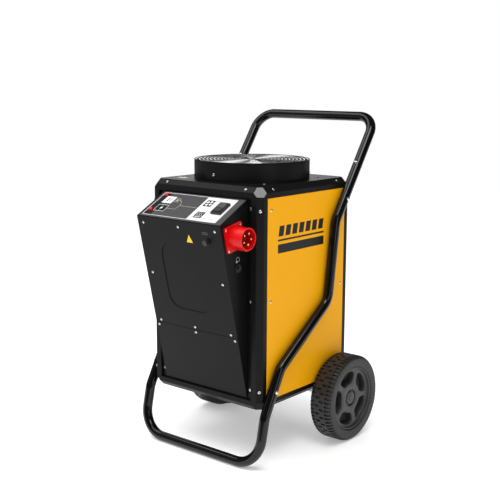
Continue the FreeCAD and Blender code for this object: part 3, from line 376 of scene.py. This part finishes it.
def stroke(start, end, width):
    """The outline of a straight printed line."""
    run = Vector((end[0] - start[0], end[1] - start[1]))
    side = Vector((-run.y, run.x)).normalized() * width / 2
    ahead = run.normalized() * width / 2
    a, b = Vector(start) - ahead, Vector(end) + ahead
    return [tuple(a - side), tuple(b - side), tuple(b + side), tuple(a + side)]


def strokes(points, width):
    return [stroke(a, b, width) for a, b in zip(points, points[1:])]


def border(x0, y0, x1, y1, width):
    """The four lines around a rectangle."""
    corners = rectangle(x0, y0, x1, y1)
    return strokes(corners + corners[:1], width)


def print_on(name, shapes, place, finish, lift=0.0):
    """A printed film: flat shapes, in millimetres, lifted a little from the face that they lie on."""
    film = 0.00012
    bm = bmesh.new()
    for shape in shapes:
        slab(bm, [(x * MM, y * MM) for x, y in shape], place, film, lift)
    add_object(name, bm, "cabinet", finish)


# ---------------------------------------------------------------- fasteners

def islands(mesh):
    """The separate solids of a CAD node, as lists of polygons."""
    parent = list(range(len(mesh.vertices)))

    def root(n):
        while parent[n] != n:
            parent[n] = parent[parent[n]]
            n = parent[n]
        return n

    seen = {}
    for vertex in mesh.vertices:
        key = tuple(round(c, 6) for c in vertex.co)
        parent[vertex.index] = root(seen.setdefault(key, vertex.index))
    for polygon in mesh.polygons:
        first = root(polygon.vertices[0])
        for other in polygon.vertices[1:]:
            parent[root(other)] = first
    groups = {}
    for polygon in mesh.polygons:
        groups.setdefault(root(polygon.vertices[0]), []).append(polygon)
    return list(groups.values())


def screw_places(node):
    """For each screw of a node: the middle of its head's underside, its direction, its head radius."""
    same_height = 0.0002
    mesh = frame["nodes"][node].data
    places = []
    for polygons in islands(mesh):
        sums = {}
        for polygon in polygons:
            key = tuple(round(c, 1) for c in polygon.normal)
            sums.setdefault(key, []).append(polygon)
        under = max(sums.values(), key=lambda rows: sum(p.area for p in rows))
        normal = -sum((p.normal * p.area for p in under), Vector()).normalized()
        top = max(p.center.dot(normal) for p in under)
        rim = [p for p in under if p.center.dot(normal) > top - same_height]
        corners = [mesh.vertices[n].co for p in rim for n in p.vertices]
        low = Vector([min(c[i] for c in corners) for i in range(3)])
        high = Vector([max(c[i] for c in corners) for i in range(3)])
        middle = (low + high) / 2
        places.append((middle, normal, max((c - middle).length for c in corners)))
    return places


def domed_screw(bm, middle, normal, radius):
    """Adds a screw: its shank, the straight edge of its head and the dome over it."""
    place = plane_frame(middle, normal, X if abs(normal.x) < 0.7 else Y)
    shank, shank_length, flat_top = radius * 0.4, 0.004, radius * 0.16
    rise, edge_share = radius * 0.45, 0.25
    profile = [(shank, -shank_length), (shank, 0.0), (radius, 0.0), (radius, rise * edge_share)]
    for angle in (math.radians(30 + 15 * n) for n in range(4)):
        profile.append((radius * math.cos(angle), rise * (edge_share + (1 - edge_share) * math.sin(angle))))
    lathe(bm, profile + [(flat_top, rise), (0, rise)], place, 24)
    return place, rise


def add_screws(node, name):
    """The screws of a CAD node as one piece, and the crosses of their recesses as another: flat black film
    on the domes, painted shade standing in for the hollow recesses.
    """
    thick, lean = 0.00006, 20
    heads, slots = bmesh.new(), bmesh.new()
    for middle, normal, radius in screw_places(node):
        place, rise = domed_screw(heads, middle, normal, radius)
        arm, half = radius * 0.48, radius * 0.1
        # painted shade: a flat black cross on the dome where the recess would lie in shadow
        for turn in (lean, lean + 90):
            slab(slots, rectangle(-arm, -half, arm, half),
                 place @ Matrix.Rotation(math.radians(turn), 4, "Z"), thick, rise * 0.97)
    add_object(name, heads, "cabinet", FINISH["zinc"], (node,))
    add_object(name + "_recess_painted_shade", slots, "cabinet", FINISH["print_black"])


# ---------------------------------------------------------------- cabinet

def build_cabinet():
    sheet_round, cover_round, film_round = 0.0009, 0.0007, 0.0003
    shortest, cover_shortest = 0.012, 0.2
    for node in ("base_pan", "top_cover", "front_post_left", "front_post_right", "rear_post_left",
                 "rear_post_right", "rear_panel", "front_panel", "side_panel_left", "side_panel_right"):
        soft_copy(node, sheet_round, shortest)
    soft_copy("console_housing", cover_round, shortest)
    for node in ("console_upper_cover", "console_lower_cover"):
        soft_copy(node, cover_round, cover_shortest)
    soft_copy("control_fascia", film_round, shortest)
    add_screws("cabinet_screws", "cabinet_screw_heads")
    add_screws("console_screws", "console_screw_heads")


def painted_highlight_facet(side, name):
    """A lighter grey film on the six-sided facet at a front corner of the top cover, drawn in from its
    edges: a painted highlight where the black facet catches the light.
    """
    hint = Vector((side, -1, 1)).normalized()
    facing, smallest, share = 0.97, 1e-4, 0.96
    mesh = frame["nodes"]["top_cover"].data
    facet = [p for p in mesh.polygons if p.normal.dot(hint) > facing and p.area > smallest]
    normal = sum((p.normal * p.area for p in facet), Vector()).normalized()
    corners = {tuple(round(c, 6) for c in mesh.vertices[n].co) for p in facet for n in p.vertices}
    middle = sum((Vector(c) for c in corners), Vector()) / len(corners)
    place = plane_frame(middle, normal, X)
    flat = [place.inverted() @ Vector(c) for c in corners]
    flat.sort(key=lambda c: math.atan2(c.y, c.x))
    outline = [(c.x / MM * share, c.y / MM * share) for c in flat]
    print_on(name, [outline], place, FINISH["facet_painted_highlight"])


def side_print():
    """Plain bars on the side panels, where such a machine carries its maker's sign.
    Two bars run under a row of slanted blocks, in millimetres from the panel's front and the floor."""
    near, far = 43.0, 250.0
    wide_bar, thin_bar, block_row = (579.5, 603.5), (612, 617), (625, 653)
    blocks, inset, filled, lean = 7, 2, 0.72, 5
    for side, node in ((1, "side_panel_right"), (-1, "side_panel_left")):
        low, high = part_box(node)
        x = high.x if side > 0 else low.x
        place = plane_frame(Vector((x, low.y, 0)), X * side, Y * side)
        start, end = sorted((side * near, side * far))
        shapes = [rectangle(start, bar[0], end, bar[1]) for bar in (wide_bar, thin_bar)]
        pitch = (end - start) / blocks
        foot, head = block_row
        for n in range(blocks):
            left = start + n * pitch + inset
            right = left + pitch * filled
            shapes.append([(left, foot), (right, foot), (right + lean, head), (left + lean, head)])
        print_on(node + "_bars", shapes, place, FINISH["print_black"])


def top_label():
    """The small plate at the front left of the top cover."""
    left, right, front, back, corner = -157, -122, -152, -136, 2
    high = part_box("top_cover")[1]
    place = plane_frame(Vector((0, 0, high.z)), Z, X)
    print_on("cover_label", [rounded(left, front, right, back, corner)], place, FINISH["label_beige"])


# ---------------------------------------------------------------- console

PANEL_SIDE = Vector((0, -0.4, 0.9))


def fascia_place():
    """The sloping panel's own frame, on its outer face at the middle of its slope."""
    middle, normal = main_face("control_fascia", PANEL_SIDE)
    low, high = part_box("control_fascia")
    centre = (low + high) / 2
    origin = centre + normal * (middle - centre).dot(normal)
    return plane_frame(Vector((0, origin.y, origin.z)), normal, X)


def fan_symbol(cx, cy, reach):
    """Four curved blades about a hub."""
    steps, lead = 8, 30
    outer_sweep, inner_sweep, hub, bulge = 56, 44, 0.22, 0.2
    shares = [n / steps for n in range(steps + 1)]
    shapes = []
    for turn in (lead + 90 * blade for blade in range(4)):
        outer = [(reach, turn + outer_sweep * s) for s in shares]
        inner = [(reach * (hub + bulge * s * (1 - s)), turn + inner_sweep * (1 - s)) for s in shares]
        shapes.append([(cx + r * math.cos(math.radians(a)), cy + r * math.sin(math.radians(a)))
                       for r, a in outer + inner])
    return shapes


def coil_symbol(cx, cy, wide, tall):
    """Three upright waves for heat."""
    steps, sway, line = 12, wide * 0.07, wide * 0.1
    shares = [n / steps for n in range(steps + 1)]
    shapes = []
    for n in (-1, 0, 1):
        wave = [(cx + n * wide / 3 + math.sin(2 * math.pi * s) * sway, cy + (s - 0.5) * tall)
                for s in shares]
        shapes += strokes(wave, line)
    return shapes


def bolt_symbol(cx, cy, tall):
    """A zigzag for electric power."""
    points = [(0.12, 0.5), (-0.28, -0.06), (-0.02, -0.06), (-0.14, -0.5), (0.28, 0.08), (0.02, 0.08)]
    return [(cx + x * tall, cy + y * tall) for x, y in points]


def panel_print(name, shapes, finish, lift):
    print_on(name, shapes, fascia_place(), FINISH[finish], lift)


def console_print():
    """The panel's print, in millimetres from its middle: a dark, a grey and a white field, two boxed
    signs by the lamps with lines that join them, and the two symbols with leads to the switch.
    Each film lies a little above the ones that it is printed over."""
    left, right, half = -138, 127, 52
    dark_end, split = -108, 24
    panel_print("panel_dark", [rectangle(left + 2, -half + 2, dark_end, half - 2)], "print_black", 0.0)
    panel_print("panel_grey", [rectangle(dark_end, -half + 1, split, half - 1)], "print_grey", 0.0)
    white = border(left, -half, right, half, 1.6) + [rectangle(split, -half, right, half)]
    meter_box, power_box = rounded(-116, 6, -81, 37, 1), border(-115, -31, -78, -3, 1.2)
    panel_print("panel_white", white + [meter_box] + power_box, "print_white", 0.00008)
    panel_print("panel_box", [rectangle(-114, -30, -79, -4)], "print_black", 0.00012)

    thin, join = 0.9, (-42, 1)
    lines = strokes([(-60, 25), (-48, 18), join, (split, 0)], thin)
    lines += strokes([(-77, -17), (-46, -17), join], thin)
    lines += border(-77, 15, -61, 31, thin) + [rectangle(-71, 19, -67, 27)]
    panel_print("panel_lines", lines, "label_beige", 0.00016)
    panel_print("panel_bolt", [bolt_symbol(-96, -17, 20)], "print_white", 0.00026)
    gauge = [rectangle(-104, 13, -100, 31), rectangle(-94, 13, -92, 31)]
    panel_print("panel_gauge", gauge, "print_grey", 0.00022)

    boxes = [rounded(32, 11, 60, 39, 1.5), rounded(38, -41, 66, -14, 1.5)]
    panel_print("symbol_boxes", boxes, "print_black", 0.00022)
    hot_plate = rectangle(42, -37.5, 62, -35.5)
    symbols = fan_symbol(46, 25, 12) + coil_symbol(52, -25.5, 22, 15) + [hot_plate]
    panel_print("symbols", symbols, "print_white", 0.00036)
    leads = strokes([(60, 37), (102, 37), (102, 25)], 1.0)
    leads += strokes([(66, -40), (107, -40), (107, -27)], 1.0)
    panel_print("switch_leads", leads, "print_grey", 0.00022)


def face_print():
    """A plain yellow patch and two short bars on the front of the console.
    Heights are in millimetres from the floor, and high turns them into places along the slope."""
    middle, normal = main_face("console_upper_cover", Vector((0, -1, -0.2)))
    place = plane_frame(Vector((0, middle.y, middle.z)), normal, X)

    def high(z):
        return (z * MM - middle.z) / place.col[1].z / MM

    tip, foot = high(633), high(612)
    triangle = [(24, foot), (46, foot), (35, tip)]
    print_on("yellow_patch", [triangle], place, FINISH["print_yellow"])
    left, right = 84, 104
    bars = [rectangle(left, high(top), right, high(top - 2)) for top in (646, 641.5)]
    print_on("probe_mark", bars, place, FINISH["print_grey"])


def reset_print():
    """A round arrow above the reset button."""
    above, radius, line = 0.012, 6.5, 1.8
    low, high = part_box("reset_bezel")
    place = plane_frame(Vector((low.x, (low.y + high.y) / 2, high.z + above)), X, Y)
    arc = [(radius * math.cos(math.radians(a)), radius * math.sin(math.radians(a)))
           for a in range(-50, 231, 20)]
    x, y = arc[-1]
    arrow_head = [(x - 4, y + 0.5), (x + 3, y + 2.4), (x + 0.5, y - 4.5)]
    print_on("reset_mark", strokes(arc, line) + [arrow_head], place, FINISH["print_white"])


def rocker_ribs():
    """Grip ribs across the hollow top of the rocker, one for every third strip of the hollow. The ribs are
    real; their lighter grey than the black rocker is a painted highlight along them.
    """
    half_long, half_wide, corner, high, sunk = 0.0105, 0.0008, 0.0006, 0.0008, 0.0001
    strips = {}
    for polygon in frame["nodes"]["power_rocker"].data.polygons:
        if polygon.normal.z > 0.6 and polygon.area > 1.5e-5:
            strips.setdefault(tuple(round(c, 2) for c in polygon.normal), []).append(polygon)
    bm = bmesh.new()
    for normal, rows in sorted(strips.items())[1::3]:
        area = sum(p.area for p in rows)
        middle = sum((p.center * p.area for p in rows), Vector()) / area
        place = plane_frame(middle, Vector(normal).normalized(), X)
        slab(bm, rounded(-half_long, -half_wide, half_long, half_wide, corner), place, high, -sunk)
    add_object("rocker_ribs", bm, "rocker", FINISH["rib_painted_highlight"])


def build_lamps():
    """Two domed lenses on stems, each in a small ring."""
    stem, lens, root, seat, dome_from, rise = 0.0048, 0.0064, -0.012, 0.001, 0.002, 0.0048
    dome = [(lens * math.cos(math.radians(15 * n)), dome_from + rise * math.sin(math.radians(15 * n)))
            for n in range(6)]
    profile = [(0, root), (stem, root), (stem, seat), (lens, seat)] + dome + [(0, dome_from + rise)]
    ring = [(0.0049, 0.0), (0.0075, 0.0), (0.0075, 0.0009), (0.0072, 0.0014), (0.0067, 0.0015),
            (0.0065, 0.0009)]
    middle, normal = main_face("control_fascia", PANEL_SIDE)
    rings = bmesh.new()
    for node in ("power_lamp", "fault_lamp"):
        low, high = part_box(node)
        centre = (low + high) / 2
        place = plane_frame(centre + normal * (middle - centre).dot(normal), normal, X)
        bulb = bmesh.new()
        lathe(bulb, profile, place, 40)
        add_object(node + "_dome", bulb, "cabinet", FINISH["lamp_red"], (node,))
        lathe(rings, ring, place, 48, closed=True)
    add_object("lamp_rings", rings, "cabinet", FINISH["black_plastic"],
               ("lamp_bezels",))


def build_controls():
    bezel_round, rocker_round, shortest = 0.0006, 0.0005, 0.004
    soft_copy("rocker_bezel", bezel_round, shortest)
    soft_copy("power_rocker", rocker_round, shortest)
    rocker_ribs()
    build_lamps()


# ---------------------------------------------------------------- collar and guard

def build_collar():
    """The collar about the fan: a foot turned inwards, a shallow bead and a rounded rim."""
    foot, skin, bead, soft = 0.014, 0.002, 0.0006, 0.0005
    low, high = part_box("fan_collar")
    centre = (low + high) / 2
    radius = (high.x - low.x) / 2
    tall = high.z - low.z
    profile = [(radius - foot, 0.0), (radius, 0.0), (radius, tall - 0.004), (radius - bead, tall - 0.0035),
               (radius - bead, tall - 0.003), (radius, tall - 0.0025), (radius, tall - bead),
               (radius - bead, tall), (radius - skin + 0.0004, tall), (radius - skin, tall - soft),
               (radius - skin, skin), (radius - foot, skin)]
    bm = bmesh.new()
    lathe(bm, profile, Matrix.Translation(Vector((centre.x, centre.y, low.z))), 160, closed=True)
    add_object("collar_shell", bm, "cabinet", FINISH["black_sheet"], ("fan_collar",))


def wire_ring(bm, place, radius, wire):
    """A closed round wire hoop."""
    around = 10
    turns = [2 * math.pi * n / around for n in range(around)]
    profile = [(radius + wire * math.cos(t), wire * math.sin(t)) for t in turns]
    lathe(bm, profile, place, 144, closed=True)


def wire_rod(bm, start, end, wire):
    """A straight round wire with softened ends."""
    length, along = (end - start).length, (end - start).normalized()
    place = plane_frame(start, along, X if abs(along.x) < 0.9 else Y)
    lathe(bm, [(0, 0), (wire * 0.8, 0), (wire, wire * 0.2), (wire, length - wire * 0.2),
               (wire * 0.8, length), (0, length)], place, 12)


def build_guard():
    """Concentric wire hoops welded on radial rods, with a small disc in the middle."""
    wire, pitch, hoops = 0.0018, 0.0104, 14
    rod_wire, rods, first_rod, overlap = 0.0016, 4, 22, 0.0004
    disc = [(0, -0.0012), (0.013, -0.0012), (0.0142, 0.0), (0.013, 0.0012), (0, 0.0012)]
    disc_depth = 0.0032
    low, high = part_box("fan_guard")
    centre = (low + high) / 2
    outer = (high.x - low.x) / 2
    bm = bmesh.new()
    for n in range(hoops):
        wire_ring(bm, Matrix.Translation(Vector((centre.x, centre.y, high.z - wire))),
                  outer - wire - n * pitch, wire)
    for n in range(rods):
        angle = math.radians(180 / rods * n + first_rod)
        reach = Vector((math.cos(angle), math.sin(angle), 0)) * (outer - wire)
        middle = Vector((centre.x, centre.y, high.z - 3 * wire + overlap))
        wire_rod(bm, middle - reach, middle + reach, rod_wire)
    lathe(bm, disc, Matrix.Translation(Vector((centre.x, centre.y, high.z - disc_depth))), 48)
    add_object("guard_wires", bm, "cabinet", FINISH["guard_steel"], ("fan_guard",),
               smooth=60)


# ---------------------------------------------------------------- wheels

def tyre_outline(radius, half):
    """A tyre's outline as (radius, across, row): row names the notches its point sinks into."""
    bead, round_off = 0.092, 0.012
    shoulder_end, slot_end, step = half - 0.0175, 0.0135, 0.0005
    points = [(bead, half - 0.004, ""), (bead + 0.003, half - 0.001, ""), (bead + 0.012, half, "")]
    for n in range(7):
        angle = math.radians(15 * n)
        points.append((radius - round_off + round_off * math.sin(angle),
                       half - round_off + round_off * math.cos(angle), "shoulder" if n > 1 else ""))
    points += [(radius, shoulder_end, "shoulder"), (radius, shoulder_end - step, ""),
               (radius, slot_end, ""), (radius, slot_end - step, "slot"), (radius, 0.0, "slot")]
    near = [(r, a, row.replace("slot", "near slot")) for r, a, row in points]
    far = [(r, -a, row.replace("slot", "far slot")) for r, a, row in reversed(points)]
    far[0] = (radius, -0.0004, "far slot")
    return near + far


def polar_row(bm, place, points, high):
    """Adds points given as (radius, angle), all at one height."""
    return [bm.verts.new(place @ Vector((r * math.cos(a), r * math.sin(a), high))) for r, a in points]


def build_tyre(side, node):
    """A solid tyre: notched shoulders and two staggered rows of slots between them."""
    lugs, depth = 66, 0.0042
    low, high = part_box(node)
    place = plane_frame((low + high) / 2, X * side, Y)
    columns = []
    for n in range(lugs):
        for share, sunk in ((0.0, False), (0.48, False), (0.54, True), (0.94, True)):
            rows = {"shoulder", "near slot" if n % 2 else "far slot"} if sunk else set()
            columns.append((2 * math.pi * (n + share) / lugs, rows))
    bm = bmesh.new()
    rings = []
    for radius, across, row in tyre_outline((high.z - low.z) / 2, (high.x - low.x) / 2):
        ring = [(radius - depth if row in sunk_rows else radius, turn) for turn, sunk_rows in columns]
        rings.append(polar_row(bm, place, ring, across))
    for first, second in zip(rings, rings[1:] + rings[:1]):
        bridge(bm, first, second)
    add_object(node + "_tread", bm, body_of(node), FINISH["tyre_rubber"], (node,),
               smooth=30)


def kidney(shrink):
    """The outline of one pocket between two spokes, drawn in by shrink, as (radius, angle)."""
    middle, reach, spoke = 0.0620, 0.0192 - shrink, 0.0065 + shrink
    steps, squareness, half_share = 56, 0.55, math.radians(36)
    points = []
    for n in range(steps):
        turn = 2 * math.pi * n / steps
        a, b = math.cos(turn), math.sin(turn)
        radius = middle + reach * math.copysign(abs(a) ** squareness, a)
        half_angle = half_share - math.asin(spoke / radius)
        points.append((radius, half_angle * math.copysign(abs(b) ** squareness, b)))
    return points


def closed_edges(bm, row):
    """The edges between the neighbours of a closed row."""
    return [bm.edges.get((row[n], row[(n + 1) % len(row)])) for n in range(len(row))]


def build_rim(side, node):
    """A moulded wheel disc with five closed kidney pockets between rounded spokes.
    Heights are distances from the machine's middle plane."""
    spokes, first_spoke, steps = 5, math.radians(34), 150
    bore, cap_seat, hub, dish, rim = 0.0103, 0.0225, 0.031, 0.0835, 0.0919
    low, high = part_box(node)
    back, face = sorted((abs(low.x), abs(high.x)))
    web, floor_high = face - 0.0072, face - 0.030
    dish_back, cap_floor, hub_end = face - 0.038, face - 0.0125, back + 0.0005
    outside = [(dish, web), (0.0858, web + 0.0016), (0.0868, face - 0.0012), (0.0880, face),
               (0.0905, face), (rim, face - 0.0012), (rim, back + 0.003), (0.0840, back + 0.003),
               (dish, dish_back), (hub, dish_back), (hub - 0.001, hub_end + 0.001),
               (hub - 0.002, hub_end), (bore, hub_end), (bore, cap_floor), (cap_seat, cap_floor),
               (cap_seat + 0.001, cap_floor + 0.0007), (cap_seat + 0.002, web - 0.0008), (0.0262, web)]
    centre = (low + high) / 2
    place = plane_frame(Vector((0, centre.y, centre.z)), X * side, Y * side)
    circle = [2 * math.pi * n / steps for n in range(steps)]
    bm = bmesh.new()
    rows = [polar_row(bm, place, [(r, a) for a in circle], x) for r, x in outside]
    for first, second in zip(rows, rows[1:]):
        bridge(bm, first, second)
    face_edges = closed_edges(bm, rows[0]) + closed_edges(bm, rows[-1])
    levels = [(0.0, web), (0.0010, web - 0.0004), (0.0022, web - 0.0018), (0.0028, web - 0.0040),
              (0.0036, floor_high + 0.0015), (0.0050, floor_high)]
    for turn in (first_spoke + math.radians(360 / spokes) * n for n in range(spokes)):
        pocket = [polar_row(bm, place, [(r, (a + turn) * side) for r, a in kidney(shrink)], x)
                  for shrink, x in levels]
        for first, second in zip(pocket, pocket[1:]):
            bridge(bm, first, second)
        bm.faces.new(pocket[-1])
        face_edges += closed_edges(bm, pocket[0])
    bmesh.ops.triangle_fill(bm, use_beauty=True, use_dissolve=False, edges=face_edges,
                            normal=X * side)
    add_object(node + "_disc", bm, body_of(node), FINISH["wheel_plastic"], (node,),
               smooth=32)


def build_caps():
    """The press-on caps over the ends of the axle, with a raised middle."""
    profile = [(0, 0.0002), (0.0195, 0.0002), (0.0198, 0.003), (0.0185, 0.0052), (0.015, 0.0062),
               (0.0095, 0.0065), (0.0085, 0.0078), (0, 0.0079)]
    for side, node in ((1, "hub_cap_right"), (-1, "hub_cap_left")):
        low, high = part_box(node)
        centre = (low + high) / 2
        foot = min(abs(low.x), abs(high.x)) * side
        bm = bmesh.new()
        lathe(bm, profile, plane_frame(Vector((foot, centre.y, centre.z)), X * side, Y), 48)
        add_object(node + "_dome", bm, "cabinet", FINISH["wheel_plastic"], (node,))


def build_wheels():
    for side, name in ((1, "right"), (-1, "left")):
        build_tyre(side, "tyre_" + name)
        build_rim(side, "wheel_rim_" + name)
    build_caps()


# ---------------------------------------------------------------- the scene

def add_floor():
    """A white floor that glows a little, so that it fades into the backdrop."""
    reach = 6
    mesh = bpy.data.meshes.new("floor")
    mesh.from_pydata([(x, y, 0) for x, y in rectangle(-reach, -reach, reach, reach)], [], [(0, 1, 2, 3)])
    shader = FINISH["floor"].node_tree.nodes["Principled BSDF"]
    shader.inputs["Emission Color"].default_value = WHITE
    shader.inputs["Emission Strength"].default_value = 0.3
    mesh.materials.append(FINISH["floor"])
    floor = bpy.data.objects.new("floor", mesh)
    bpy.context.scene.collection.objects.link(floor)


add_camera()
add_lights()
dress_cad_nodes()
build_cabinet()
painted_highlight_facet(1, "facet_right")
painted_highlight_facet(-1, "facet_left")
side_print()
top_label()
console_print()
face_print()
reset_print()
build_controls()
build_collar()
build_guard()
build_wheels()
add_floor()
